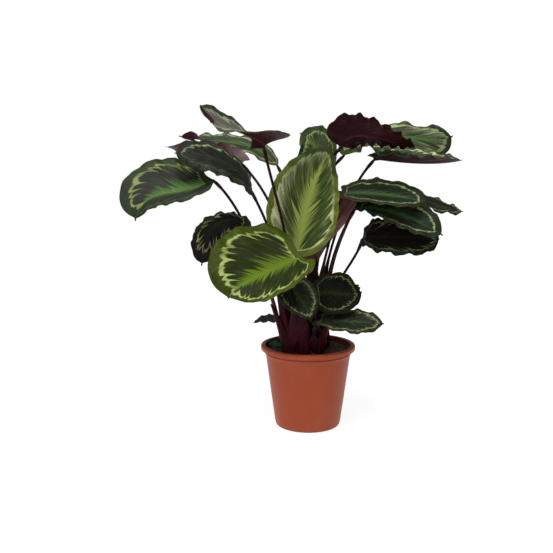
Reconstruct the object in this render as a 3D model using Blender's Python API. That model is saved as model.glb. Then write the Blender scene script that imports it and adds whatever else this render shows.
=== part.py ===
"""A calathea in a nursery pot: pot, soil, and a stalk and a blade for each leaf.

Lengths are in millimetres from the middle of the pot's foot and become metres when a mesh is made.
+Z is up, and -Y is the plant's front.
"""

import math
from dataclasses import dataclass

import bpy
import numpy as np

MILLIMETRE = 0.001
GAP = 0.3

POT_HEIGHT = 148.5
POT_SIDES = 40
LIP_RADIUS = 85.0
LIP_HEIGHT = 8.5
LIP_ROUNDING = 2.5
NECK_RADIUS = 77.5
FOOT_RADIUS = 58.5
FOOT_ROUNDING = 4.5
WALL = 1.8
FLOOR = 2.5
DRAIN_HOLES = 6
DRAIN_RADIUS = 5.0
DRAIN_CIRCLE = 38.0

SOIL_TOP = 140.0
PLANTED_DEPTH = 24.0
HOLE_RADIUS = 4.3
HOLE_SIDES = 12

BLADE_THICKNESS = 0.8
BLADE_ACROSS = 6
BLADE_LEAST_HALF = 1.2
DRIP_TIP_START = 0.88

STALK_SIDES = 8
STALK_STEPS = 6
STALK_RADIUS = 2.4
STALK_FOOT_RADIUS = 3.8
SHEATH_WIDENING = 5.6
SHEATH_THICKENING = 0.5
SHEATH_LONGEST = 170.0
STEM_SIDE = 8.0
SEAT_RADIUS = 2.2
TONGUE_LENGTH = 5.0
TONGUE_RADIUS = 1.3
STALK_TO_BLADE = 0.4
CLUMP = np.array([-4.0, 2.0, 0.0])


@dataclass
class Frond:
    """One leaf on its stalk.

    foot: where the stalk leaves the soil.
    bends: the two points that pull the stalk's curve on its way up.
    rib: four points that the midrib passes through, from the stalk to the tip.
    halves: the blade's width left and right of the midrib, looking to the tip.
    faces: compass bearing from +X and height, in degrees, that the upper side looks at.
    twist: degrees the blade turns about its midrib from end to end.
    curl: degrees more that its last quarter turns.
    fold, cup: degrees each half rises at the midrib, and again by its edge.
    lobe: how far the rounded base reaches back past the stalk.
    broadest: where along the midrib the blade is widest.
    point: how sharply the tip narrows.
    waves, wave: how often and how far the edge waves.
    """

    foot: tuple
    bends: tuple
    rib: tuple
    halves: tuple
    faces: tuple
    twist: float = 0
    curl: float = 0
    fold: tuple = (5, 5)
    cup: tuple = (0, 0)
    lobe: float = 8
    broadest: float = 0.45
    point: float = 0.6
    waves: int = 5
    wave: float = 3.0
    cells: int = 14


FRONDS = {
    # Left of the pot, from the lowest leaf to the highest.
    "rim_left": Frond(
        foot=(-50, 20),
        bends=((-50, 20, 155), (-45, 30, 170)),
        rib=((-42, 36, 180), (-60, 34, 187), (-80, 32, 187), (-100, 30, 180)),
        halves=(24, 24), faces=(-90, 75), fold=(10, 0), cup=(5, -15),
        point=0.9, waves=4, wave=1.5, cells=10,
    ),
    "dark_left": Frond(
        foot=(-41, -25),
        bends=((-40, -25, 235), (-75, -15, 320)),
        rib=((-100, -40, 365), (-140, -45, 375), (-170, -50, 355), (-185, -60, 300)),
        halves=(46, 42), faces=(-95, 50), twist=-20, fold=(5, -5), cup=(-5, -25),
        point=0.5, waves=7, wave=3, cells=20,
    ),
    "far_left": Frond(
        foot=(-42, -10),
        bends=((-65, -10, 255), (-115, 0, 395)),
        rib=((-170, 0, 445), (-220, -10, 425), (-270, -20, 415), (-300, -40, 375)),
        halves=(26, 76), faces=(-120, 40), twist=-35, fold=(0, 10), cup=(-10, 5),
        lobe=10, broadest=0.45, point=0.55, wave=2,
    ),
    "arched_left": Frond(
        foot=(-32, 15),
        bends=((-30, 20, 255), (-65, 20, 360)),
        rib=((-100, 20, 425), (-135, 5, 465), (-185, 0, 485), (-235, 0, 490)),
        halves=(36, 46), faces=(-80, 60), twist=-45, fold=(0, 5), cup=(-20, -10),
        lobe=14, broadest=0.35, point=0.5, waves=6, wave=2.5,
    ),
    "curled_left": Frond(
        foot=(-32, 32),
        bends=((-25, 30, 290), (-50, 45, 400)),
        rib=((-120, 80, 470), (-145, 80, 485), (-190, 75, 495), (-260, 65, 500)),
        halves=(22, 40), faces=(90, 35), curl=-40, fold=(0, 5), cup=(0, 5),
        lobe=12, broadest=0.25, point=0.3,
    ),
    "back_left": Frond(
        foot=(-14, 40),
        bends=((-15, 40, 275), (-20, 80, 405)),
        rib=((-55, 125, 465), (-110, 150, 500), (-175, 160, 510), (-245, 160, 520)),
        halves=(32, 20), faces=(-90, 60), twist=25, curl=95, fold=(15, 20), cup=(0, 15),
        lobe=6, broadest=0.5,
    ),
    "crown_left": Frond(
        foot=(-26, -12),
        bends=((-15, -30, 295), (-60, -50, 410)),
        rib=((-80, -50, 500), (-100, -75, 518), (-155, -105, 540), (-170, -130, 560)),
        halves=(56, 40), faces=(-90, 90), twist=-90, fold=(-5, 10), cup=(0, 60),
        lobe=10, broadest=0.3, point=0.5, waves=4, wave=1.5, cells=18,
    ),
    # The light leaves in the middle and the young one that is still half rolled.
    "front": Frond(
        foot=(-28, -36),
        bends=((-30, -35, 215), (-15, -60, 275)),
        rib=((-15, -80, 320), (-55, -100, 305), (-105, -130, 285), (-135, -150, 260)),
        halves=(66, 92), faces=(-95, 30), twist=-30, fold=(15, 5), cup=(25, 0),
        lobe=14, point=0.5, waves=4, wave=4, cells=20,
    ),
    "middle": Frond(
        foot=(-8, -26),
        bends=((-10, -25, 210), (-20, -20, 270)),
        rib=((-20, -15, 308), (-10, -5, 375), (10, 0, 440), (40, 0, 505)),
        halves=(70, 70), faces=(-100, 30), twist=-25, fold=(15, 15), cup=(15, 15),
        lobe=2, point=0.75, waves=7, wave=2.5, cells=20,
    ),
    "middle_back": Frond(
        foot=(0, 32),
        bends=((0, 30, 260), (40, 35, 365)),
        rib=((35, 45, 440), (25, 55, 480), (10, 60, 505), (-15, 60, 525)),
        halves=(54, 42), faces=(-105, 45), twist=15, fold=(10, 25), cup=(5, 40),
        lobe=2, broadest=0.5, point=0.5,
    ),
    "rolled": Frond(
        foot=(-6, 6),
        bends=((-5, 5, 200), (5, 10, 255)),
        rib=((15, 10, 295), (30, 5, 340), (65, 0, 390), (80, -5, 425)),
        halves=(26, 44), faces=(100, 10), twist=-20, fold=(20, 10), cup=(40, 15),
        lobe=6, broadest=0.55, waves=3, wave=1,
    ),
    # Right of the pot, from the highest leaf to the lowest.
    "crown_right": Frond(
        foot=(4, 18),
        bends=((5, 20, 280), (0, 20, 450)),
        rib=((60, 20, 500), (90, 10, 520), (140, 0, 510), (185, 0, 500)),
        halves=(30, 58), faces=(60, 50), twist=30, fold=(5, 0), cup=(5, -10),
        lobe=4, broadest=0.35, waves=8, wave=3.5, cells=22,
    ),
    "back_right": Frond(
        foot=(13, 45),
        bends=((20, 45, 285), (0, 35, 430)),
        rib=((65, 75, 485), (120, 85, 520), (200, 80, 515), (265, 75, 520)),
        halves=(42, 54), faces=(-90, 50), twist=45, curl=50, fold=(5, 5), cup=(-20, 0),
        lobe=2, broadest=0.5, waves=4, wave=5, cells=16,
    ),
    "edge_on_right": Frond(
        foot=(17, 27),
        bends=((20, 25, 280), (70, 55, 425)),
        rib=((115, 15, 480), (155, 0, 475), (210, -10, 472), (265, -15, 478)),
        halves=(40, 36), faces=(-90, 85), twist=-10, fold=(30, 25), cup=(10, 5),
        lobe=14, waves=6, wave=2.5, cells=18,
    ),
    "upper_right": Frond(
        foot=(2, -10),
        bends=((10, -10, 245), (40, 0, 350)),
        rib=((55, -10, 420), (100, -20, 420), (155, -30, 415), (200, -40, 405)),
        halves=(44, 42), faces=(-95, 60), twist=15, fold=(5, 10), cup=(0, 5),
        lobe=10, wave=1.5,
    ),
    "long_right": Frond(
        foot=(37, 14),
        bends=((20, 15, 270), (65, 40, 355)),
        rib=((105, 50, 435), (155, 45, 425), (225, 40, 400), (280, 35, 385)),
        halves=(34, 34), faces=(-85, 65), twist=5, fold=(0, 5), cup=(-15, 0),
        lobe=14, waves=6,
    ),
    "middle_right": Frond(
        foot=(16, 4),
        bends=((25, 5, 240), (45, -15, 340)),
        rib=((80, -15, 395), (130, -20, 390), (180, -30, 375), (230, -40, 350)),
        halves=(42, 34), faces=(-95, 50), twist=40, fold=(10, 10), cup=(5, 10),
        lobe=4, broadest=0.5, waves=6, cells=16,
    ),
    "lower_right": Frond(
        foot=(30, -6),
        bends=((20, -5, 245), (80, 0, 295)),
        rib=((95, 5, 340), (130, 0, 340), (190, -5, 340), (230, -10, 340)),
        halves=(48, 44), faces=(-75, 40), twist=30, fold=(5, 10), cup=(0, 10),
        lobe=2, wave=4, cells=16,
    ),
    # Low leaves over the rim at the front and right.
    "low_right": Frond(
        foot=(20, -24),
        bends=((20, -25, 180), (5, -40, 220)),
        rib=((10, -40, 245), (35, -45, 250), (65, -55, 250), (90, -60, 255)),
        halves=(40, 42), faces=(-90, 35), twist=25, lobe=6, point=0.9, wave=1.5,
    ),
    "rim_right": Frond(
        foot=(10, -40),
        bends=((10, -40, 165), (5, -60, 190)),
        rib=((15, -60, 205), (50, -70, 205), (90, -80, 205), (125, -90, 205)),
        halves=(34, 40), faces=(-85, 60), twist=45, fold=(5, 10), cup=(-5, 5),
        lobe=12, broadest=0.3, point=0.7, waves=4, wave=2.5, cells=16,
    ),
    "low_front": Frond(
        foot=(-10, -42),
        bends=((-10, -40, 200), (-20, -75, 245)),
        rib=((-30, -80, 285), (-25, -95, 260), (-10, -110, 240), (0, -115, 215)),
        halves=(40, 30), faces=(-75, 40), twist=-20, fold=(-15, -15), cup=(5, 10),
        broadest=0.4, point=0.8, wave=2,
    ),
    # Behind the stalks.
    "rear": Frond(
        foot=(-5, 53),
        bends=((-5, 55, 215), (5, 70, 285)),
        rib=((10, 80, 330), (10, 110, 375), (15, 150, 400), (25, 195, 400)),
        halves=(48, 48), faces=(90, 70), cup=(-5, -5),
    ),
    "rear_left": Frond(
        foot=(-24, 50),
        bends=((-25, 50, 200), (-40, 50, 260)),
        rib=((-45, 60, 295), (-65, 90, 310), (-85, 130, 305), (-100, 175, 275)),
        halves=(44, 44), faces=(120, 70), cup=(-5, -5),
    ),
    "rear_right": Frond(
        foot=(24, 46),
        bends=((25, 45, 175), (40, 55, 210)),
        rib=((45, 60, 235), (60, 90, 240), (70, 120, 225), (80, 150, 195)),
        halves=(38, 38), faces=(70, 70), cup=(-5, -5),
    ),
}


def clear_scene():
    for thing in list(bpy.data.objects):
        bpy.data.objects.remove(thing, do_unlink=True)


def make_material(name, colour, roughness):
    material = bpy.data.materials.new(name)
    material.use_nodes = True
    surface = material.node_tree.nodes["Principled BSDF"]
    surface.inputs["Base Color"].default_value = (*colour, 1.0)
    surface.inputs["Roughness"].default_value = roughness
    surface.inputs["Metallic"].default_value = 0.0
    return material


def make_object(name, points, faces, material, origin=(0, 0, 0), parent=None):
    """A mesh object from points in the plant's own millimetres, with its origin where stated."""
    origin = np.array(origin, float)
    mesh = bpy.data.meshes.new(name)
    local = (np.asarray(points, float) - origin) * MILLIMETRE
    mesh.from_pydata([tuple(point) for point in local], [], [tuple(face) for face in faces])
    mesh.materials.append(material)
    mesh.update()
    made = bpy.data.objects.new(name, mesh)
    made.location = origin * MILLIMETRE
    bpy.context.scene.collection.objects.link(made)
    if parent is not None:
        made.parent = parent
        made.location = made.location - parent.location
    return made


def unit(vectors):
    return vectors / np.linalg.norm(vectors, axis=-1, keepdims=True)


def ease(start, end, value):
    """0 at start and before, 1 at end and past it, with a soft curve between."""
    part = np.clip((value - start) / (end - start), 0, 1)
    return part * part * (3 - 2 * part)


def bezier(pulls, t):
    a, b, c, d = (np.asarray(point, float) for point in pulls)
    t = np.asarray(t, float)[:, None]
    return (1 - t) ** 3 * a + 3 * t * (1 - t) ** 2 * b + 3 * t * t * (1 - t) * c + t**3 * d


def bezier_slope(pulls, t):
    a, b, c, d = (np.asarray(point, float) for point in pulls)
    t = np.asarray(t, float)[:, None]
    return (1 - t) ** 2 * (b - a) + 2 * t * (1 - t) * (c - b) + t * t * (d - c)


def pulls_through(points):
    """The Bezier control points of the curve that passes through four points at thirds."""
    a, b, c, d = (np.asarray(point, float) for point in points)
    return a, (-5 * a + 18 * b - 9 * c + 2 * d) / 6, (2 * a - 9 * b + 18 * c - 5 * d) / 6, d


def bearing(azimuth, height):
    azimuth, height = math.radians(azimuth), math.radians(height)
    flat = math.cos(height)
    return np.array([math.cos(azimuth) * flat, math.sin(azimuth) * flat, math.sin(height)])


def rib_frames(frond, u):
    """Point, direction, upward normal and rightward side of the midrib at each u."""
    pulls = pulls_through(frond.rib)
    along = unit(bezier_slope(pulls, u))
    faces = bearing(*frond.faces)
    normal = unit(faces - (along @ faces)[:, None] * along)
    side = np.cross(along, normal)
    turn = np.radians(frond.twist * (np.asarray(u) - 0.5) + frond.curl * ease(0.75, 1, u))
    c, s = np.cos(turn)[:, None], np.sin(turn)[:, None]
    return bezier(pulls, u), along, normal * c + side * s, side * c - normal * s


def half_outline(u, broadest, point):
    """Half width over the greatest: a rounded leaf that ends in a short drip tip."""
    body = np.clip(u / 0.975, 0, 1)
    rise = np.where(body < broadest, body / broadest, (1 - body) / (1 - broadest))
    roundness = np.where(body < broadest, 0.55, point)
    rounded = np.clip(1 - (1 - rise) ** 2.15, 0, 1) ** roundness
    tip = 0.16 * (1 - u) / (1 - DRIP_TIP_START)
    return np.where(u > 0.8, np.maximum(rounded, tip), rounded)


def bent_half(reach, fold, cup):
    """Sideways and upward travel over the half width, bending evenly from fold to fold + cup."""
    start = np.radians(fold)
    bend = np.radians(cup)
    if abs(bend) < 1e-6:
        return reach * np.cos(start), reach * np.sin(start)
    end = start + bend * reach
    return (np.sin(end) - np.sin(start)) / bend, (np.cos(start) - np.cos(end)) / bend


def blade_surface(frond, u, v):
    """Middle surface of a blade: u runs from stalk to tip, v from -1 at the left edge to 1."""
    points, along, normal, side = rib_frames(frond, u)
    width = half_outline(u, frond.broadest, frond.point)
    swell = ease(0, 0.12, u) * ease(1, 0.86, u)
    back = frond.lobe * ease(0, 0.07, u) * ease(0.45, 0.05, u)
    columns = []
    for value in v:
        right = int(value > 0)
        reach = abs(value)
        sideways, upward = bent_half(reach, frond.fold[right], frond.cup[right])
        half = np.maximum(frond.halves[right] * width, BLADE_LEAST_HALF)
        phase = 2 * math.pi * (frond.waves * u + 0.37 * right)
        ripple = frond.wave * swell * reach**2.4 * np.sin(phase)
        columns.append(
            points
            + side * (math.copysign(1, value) * sideways * half)[:, None]
            + normal * (upward * half + ripple)[:, None]
            - along * (back * reach**1.6)[:, None]
        )
    return np.stack(columns, axis=1)


def surface_normals(surface):
    down = np.gradient(surface, axis=0)
    across = np.gradient(surface, axis=1)
    return unit(np.cross(across, down))


def sheet_solid(surface, thickness):
    """A closed sheet about a grid of points, split into triangles alike on both faces."""
    rows, columns = surface.shape[:2]
    lift = surface_normals(surface) * thickness / 2
    points = np.concatenate([(surface + lift).reshape(-1, 3), (surface - lift).reshape(-1, 3)])
    other = rows * columns
    faces = []
    for row in range(rows - 1):
        for column in range(columns - 1):
            a = row * columns + column
            b, c, d = a + columns, a + columns + 1, a + 1
            left = column < columns // 2
            halves = ((a, b, c), (a, c, d)) if left else ((a, b, d), (b, c, d))
            for p, q, r in halves:
                faces.append((r, q, p))
                faces.append((p + other, q + other, r + other))
    rim = [row * columns for row in range(rows)]
    rim += [(rows - 1) * columns + column for column in range(1, columns)]
    rim += [row * columns + columns - 1 for row in range(rows - 2, -1, -1)]
    rim += list(range(columns - 2, 0, -1))
    for a, b in zip(rim, rim[1:] + rim[:1]):
        faces.append((a, b, b + other))
        faces.append((a, b + other, a + other))
    return points, faces


def tube_solid(centres, widths, depths, outward, sides):
    """A closed tube of oval rings whose broad side is square to outward."""
    steps = unit(np.diff(centres, axis=0))
    along = np.vstack([steps[:1], unit(steps[:-1] + steps[1:]), steps[-1:]])
    along[1] = along[0]
    points = []
    inward = outward
    for centre, way, width, depth in zip(centres, along, widths, depths):
        inward = unit(inward - (inward @ way) * way)
        across = np.cross(inward, way)
        for side in range(sides):
            angle = 2 * math.pi * (side + 0.5) / sides
            points.append(centre + across * width * math.cos(angle) + inward * depth * math.sin(angle))
    faces = [tuple(reversed(range(sides)))]
    for ring in range(len(centres) - 1):
        for side in range(sides):
            a = ring * sides + side
            b = ring * sides + (side + 1) % sides
            faces.append((a, b, b + sides))
            faces.append((a, b + sides, a + sides))
    last = (len(centres) - 1) * sides
    faces.append(tuple(range(last, last + sides)))
    return points, faces


def revolved(profile, sides):
    """A solid turned about Z from a profile that starts and ends on the axis."""
    points = [(0, 0, profile[0][1]), (0, 0, profile[-1][1])]
    for radius, height in profile[1:-1]:
        for side in range(sides):
            angle = 2 * math.pi * side / sides
            points.append((radius * math.cos(angle), radius * math.sin(angle), height))
    rings = len(profile) - 2
    faces = []
    for side in range(sides):
        after = (side + 1) % sides
        faces.append((0, 2 + after, 2 + side))
        for ring in range(rings - 1):
            low, high = 2 + ring * sides, 2 + (ring + 1) * sides
            faces.append((low + side, low + after, high + after, high + side))
        top = 2 + (rings - 1) * sides
        faces.append((1, top + side, top + after))
    return points, faces


def pegs(places, radius, low, high, sides):
    """Upright prisms at each place, in one mesh."""
    points, faces = [], []
    for x, y in places:
        first = len(points)
        for height in (low, high):
            for side in range(sides):
                angle = 2 * math.pi * side / sides
                points.append((x + radius * math.cos(angle), y + radius * math.sin(angle), height))
        for side in range(sides):
            after = (side + 1) % sides
            faces.append((first + side, first + after, first + sides + after, first + sides + side))
        faces.append(tuple(first + side for side in reversed(range(sides))))
        faces.append(tuple(first + sides + side for side in range(sides)))
    return points, faces


def bore(target, places, radius, low, high, sides, material):
    """Cuts upright holes through the target with a hidden cutter."""
    points, faces = pegs(places, radius, low, high, sides)
    cutter = make_object(target.name + "_cutter", points, faces, material)
    cutter.hide_render = True
    cutter.hide_viewport = True
    cut = target.modifiers.new("holes", "BOOLEAN")
    cut.operation = "DIFFERENCE"
    cut.solver = "EXACT"
    cut.object = cutter


def wall_radius(height):
    """Outside of the pot's tapering wall."""
    share = height / (POT_HEIGHT - LIP_HEIGHT)
    return FOOT_RADIUS + (NECK_RADIUS - FOOT_RADIUS) * share


def arc(centre, radius, first, last, steps):
    angles = [math.radians(first + (last - first) * step / steps) for step in range(steps + 1)]
    return [(centre[0] + radius * math.cos(a), centre[1] + radius * math.sin(a)) for a in angles]


def build_pot(material):
    lip_base = POT_HEIGHT - LIP_HEIGHT
    inner_rim = wall_radius(POT_HEIGHT) - WALL
    foot = (FOOT_RADIUS - FOOT_ROUNDING, FOOT_ROUNDING)
    lip = (LIP_RADIUS - LIP_ROUNDING, POT_HEIGHT - LIP_ROUNDING)
    profile = [(0, 0)]
    profile += arc(foot, FOOT_ROUNDING, -90, 0, 3)
    profile += [(NECK_RADIUS, lip_base), (LIP_RADIUS - 1, lip_base), (LIP_RADIUS, lip_base + 1)]
    profile += arc(lip, LIP_ROUNDING, 0, 90, 3)
    profile += [(inner_rim + 1, POT_HEIGHT), (inner_rim, POT_HEIGHT - 1)]
    profile += [(wall_radius(FLOOR) - WALL, FLOOR), (0, FLOOR)]
    pot = make_object("pot", *revolved(profile, POT_SIDES), material)
    drains = [
        (DRAIN_CIRCLE * math.cos(turn), DRAIN_CIRCLE * math.sin(turn))
        for turn in (2 * math.pi * hole / DRAIN_HOLES for hole in range(DRAIN_HOLES))
    ]
    bore(pot, drains, DRAIN_RADIUS, -FLOOR, 2 * FLOOR, HOLE_SIDES, material)
    return pot


def build_soil(material):
    low = FLOOR + GAP
    profile = [
        (0, low),
        (wall_radius(low) - WALL - GAP, low),
        (wall_radius(SOIL_TOP) - WALL - GAP, SOIL_TOP),
        (0, SOIL_TOP),
    ]
    soil = make_object("soil", *revolved(profile, POT_SIDES), material)
    feet = [frond.foot for frond in FRONDS.values()]
    bottom = SOIL_TOP - PLANTED_DEPTH - 1
    bore(soil, feet, HOLE_RADIUS, bottom, SOIL_TOP + 5, HOLE_SIDES, material)
    return soil


def stalk_radii(height, length):
    """Broad and narrow radius at a distance up the stalk: a stout foot and a flat sheath."""
    sheath = ease(0, 26, height) * ease(min(0.62 * length, SHEATH_LONGEST), 0.2 * length, height)
    stout = STALK_RADIUS + (STALK_FOOT_RADIUS - STALK_RADIUS) * ease(40, 0, height)
    return stout + SHEATH_WIDENING * sheath, stout + SHEATH_THICKENING * sheath


def build_stalk(name, frond, material):
    """A stalk planted upright that curves up to the blade and ends as a tongue under its midrib."""
    rib_length = np.linalg.norm(np.subtract(frond.rib[3], frond.rib[0]))
    spots, _, normals, _ = rib_frames(frond, np.array([0, TONGUE_LENGTH / rib_length]))
    base, normal = spots[0], normals[0]
    flat = math.cos(math.pi / STALK_SIDES)
    clear = BLADE_THICKNESS / 2 + STALK_TO_BLADE
    below = clear + STALK_RADIUS
    seat = base - normal * (clear + SEAT_RADIUS * flat)
    tongue = spots[1] - normals[1] * (clear + TONGUE_RADIUS * flat)
    arrival = unit(base - np.array(frond.bends[1], float))
    shift = -normal * below - arrival * STEM_SIDE * 0.75
    foot = np.array([*frond.foot, SOIL_TOP + 2])
    pulls = (foot, frond.bends[0], frond.bends[1] + shift, base + shift)
    t = np.linspace(0, 1, STALK_STEPS + 1)
    curve = bezier(pulls, t)
    heights = np.concatenate([[0], np.cumsum(np.linalg.norm(np.diff(curve, axis=0), axis=1))])
    widths, depths = stalk_radii(heights, heights[-1])
    planted = foot - np.array([0, 0, PLANTED_DEPTH + 2])
    centres = np.vstack([planted, curve, seat, tongue])
    ends = [SEAT_RADIUS, TONGUE_RADIUS]
    widths = np.concatenate([widths[:1], widths, ends])
    depths = np.concatenate([depths[:1], depths, ends])
    outward = np.array([frond.foot[0], frond.foot[1], 0.0]) - CLUMP
    outward = unit(outward) if np.linalg.norm(outward) > 6 else np.array([0.0, -1.0, 0.0])
    points, faces = tube_solid(centres, widths, depths, outward, STALK_SIDES)
    soil_line = (*frond.foot, SOIL_TOP)
    return make_object("stalk_" + name, points, faces, material, soil_line)


def build_blade(name, frond, material, stalk):
    step = np.arange(frond.cells + 1) / frond.cells
    u = 0.45 * step + 0.55 * (1 - np.cos(math.pi * step)) / 2
    v = np.linspace(-1, 1, BLADE_ACROSS + 1)
    points, faces = sheet_solid(blade_surface(frond, u, v), BLADE_THICKNESS)
    return make_object("blade_" + name, points, faces, material, frond.rib[0], stalk)


def build():
    clear_scene()
    terracotta = make_material("terracotta_plastic", (0.26, 0.07, 0.04), 0.45)
    earth = make_material("potting_soil", (0.035, 0.022, 0.016), 0.95)
    green = make_material("leaf", (0.05, 0.11, 0.03), 0.4)
    maroon = make_material("stalk", (0.09, 0.012, 0.02), 0.45)
    build_pot(terracotta)
    build_soil(earth)
    for name, frond in FRONDS.items():
        stalk = build_stalk(name, frond, maroon)
        build_blade(name, frond, green, stalk)


build()
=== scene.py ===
"""Looks for a potted calathea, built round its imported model.

Lengths are in millimetres and become metres when a mesh is made. +Z is up, and the plant's
front faces -Y. Each section makes one kind of piece, from the pot upwards.
"""

import math
from dataclasses import dataclass

import bpy
import numpy as np
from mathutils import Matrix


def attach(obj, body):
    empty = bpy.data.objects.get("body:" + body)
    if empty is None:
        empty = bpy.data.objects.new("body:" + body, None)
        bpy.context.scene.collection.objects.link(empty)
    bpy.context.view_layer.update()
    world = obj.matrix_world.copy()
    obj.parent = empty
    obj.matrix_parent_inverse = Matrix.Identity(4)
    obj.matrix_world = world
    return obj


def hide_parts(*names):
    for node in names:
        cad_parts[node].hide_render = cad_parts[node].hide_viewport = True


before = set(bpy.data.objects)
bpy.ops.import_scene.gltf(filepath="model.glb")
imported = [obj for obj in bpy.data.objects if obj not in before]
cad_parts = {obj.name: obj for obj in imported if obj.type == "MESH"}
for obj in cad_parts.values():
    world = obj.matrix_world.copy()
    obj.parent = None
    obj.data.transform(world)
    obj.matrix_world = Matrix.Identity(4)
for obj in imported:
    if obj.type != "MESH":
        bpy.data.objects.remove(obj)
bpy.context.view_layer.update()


# The studio: the photograph's camera in a white room. The light is broad and soft, and stronger
# from above and from the front left.

MILLIMETRE = 0.001
CAMERA_PLACE = (-57, -1497, 513)
CAMERA_PITCH = 9.15
CAMERA_LENS = 55.3
CAMERA_SENSOR = 36
ROOM_LIGHT = 0.34
BACKDROP_LIGHT = 1.0


def shade(red, green, blue):
    """A colour as a screen shows it, 0 to 255, turned into the linear light that Blender uses."""
    shares = np.array([red, green, blue]) / 255
    linear = np.where(shares > 0.04045, ((shares + 0.055) / 1.055) ** 2.4, shares / 12.92)
    return (*(float(part) for part in linear), 1.0)


camera_data = bpy.data.cameras.new("camera")
camera_data.lens = CAMERA_LENS
camera_data.sensor_width = CAMERA_SENSOR
camera = bpy.data.objects.new("camera", camera_data)
camera.location = [length * MILLIMETRE for length in CAMERA_PLACE]
camera.rotation_euler = (math.radians(90 - CAMERA_PITCH), 0, 0)
bpy.context.scene.collection.objects.link(camera)
bpy.context.scene.camera = camera
bpy.context.scene.view_settings.view_transform = "Standard"


def soft_light(name, azimuth, height, spread, strength):
    """A distant lamp seen under a wide angle; azimuth 0 is behind the camera, 90 is at its left."""
    data = bpy.data.lights.new(name, "SUN")
    data.angle = math.radians(spread)
    data.energy = strength
    lamp = bpy.data.objects.new(name, data)
    lamp.rotation_euler = (math.radians(90 - height), 0, math.radians(-azimuth))
    bpy.context.scene.collection.objects.link(lamp)


soft_light("light_above", azimuth=20, height=70, spread=50, strength=2.1)
soft_light("light_front", azimuth=30, height=30, spread=50, strength=0.75)

room = bpy.data.worlds.new("room")
room.use_nodes = True
room_nodes = room.node_tree.nodes
glow = room_nodes["Background"]
glow.inputs["Color"].default_value = (1, 1, 1, 1)
seen = room_nodes.new("ShaderNodeLightPath").outputs["Is Camera Ray"]
strength = room_nodes.new("ShaderNodeMapRange")
strength.inputs["To Min"].default_value = ROOM_LIGHT
strength.inputs["To Max"].default_value = BACKDROP_LIGHT
room.node_tree.links.new(seen, strength.inputs["Value"])
room.node_tree.links.new(strength.outputs["Result"], glow.inputs["Strength"])
bpy.context.scene.world = room


# The pot: one injection-moulded plastic shell, terracotta coloured, with a rolled-out lip,
# a smooth taper and drain holes in its floor.

POT_HEIGHT = 148.5
LIP_RADIUS = 85.0
LIP_HEIGHT = 8.5
LIP_ROUNDING = 2.5
LIP_UNDER_ROUNDING = 1.4
RIM_ROUNDING = 1.5
NECK_RADIUS = 77.5
NECK_FILLET = 1.0
FOOT_RADIUS = 58.5
FOOT_ROUNDING = 4.5
RING_ROUNDING = 2.0
RING_BELOW_LIP = 5.4
RING_FOOT = 6.0
RING_SUNK = 0.4
OUTER_WALL = (8.0, POT_HEIGHT - LIP_HEIGHT - 8.5)
INNER_WALL = (POT_HEIGHT - 8.5, 6.0)
WALL = 1.8
POT_FLOOR = 2.5
FLOOR_MIDDLE = 20.0
FLOOR_OUTER = 45.0
POT_SIDES = 160
OUTER_WALL_ROWS = 24
INNER_WALL_ROWS = 14
DRAIN_HOLES = 6
DRAIN_RADIUS = 5.0
DRAIN_CIRCLE = 38.0
DRILL_SIDES = 32
POT_COLOUR = shade(147, 58, 22)
POT_WORN_COLOUR = shade(156, 76, 46)
# Painted shade: the darker colour laid on the pot's inner wall.
POT_INNER_SHADE_COLOUR = shade(52, 26, 18)


class Term:
    """A socket in a finish that takes part in sums: + - * ** > and abs() add Math nodes."""

    def __init__(self, finish, socket):
        self.finish = finish
        self.socket = socket

    def math(self, operation, *values):
        return self.finish.add("ShaderNodeMath", {"operation": operation}, dict(enumerate(values)))

    def __add__(self, other):
        return self.math("ADD", self, other)

    __radd__ = __add__

    def __sub__(self, other):
        return self.math("SUBTRACT", self, other)

    def __rsub__(self, other):
        return self.math("SUBTRACT", other, self)

    def __mul__(self, other):
        return self.math("MULTIPLY", self, other)

    __rmul__ = __mul__

    def __pow__(self, other):
        return self.math("POWER", self, other)

    def __gt__(self, other):
        return self.math("GREATER_THAN", self, other)

    def __abs__(self):
        return self.math("ABSOLUTE", self)

    def floor(self):
        return self.math("FLOOR", self)

    def wave(self):
        return self.math("SINE", self)


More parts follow.
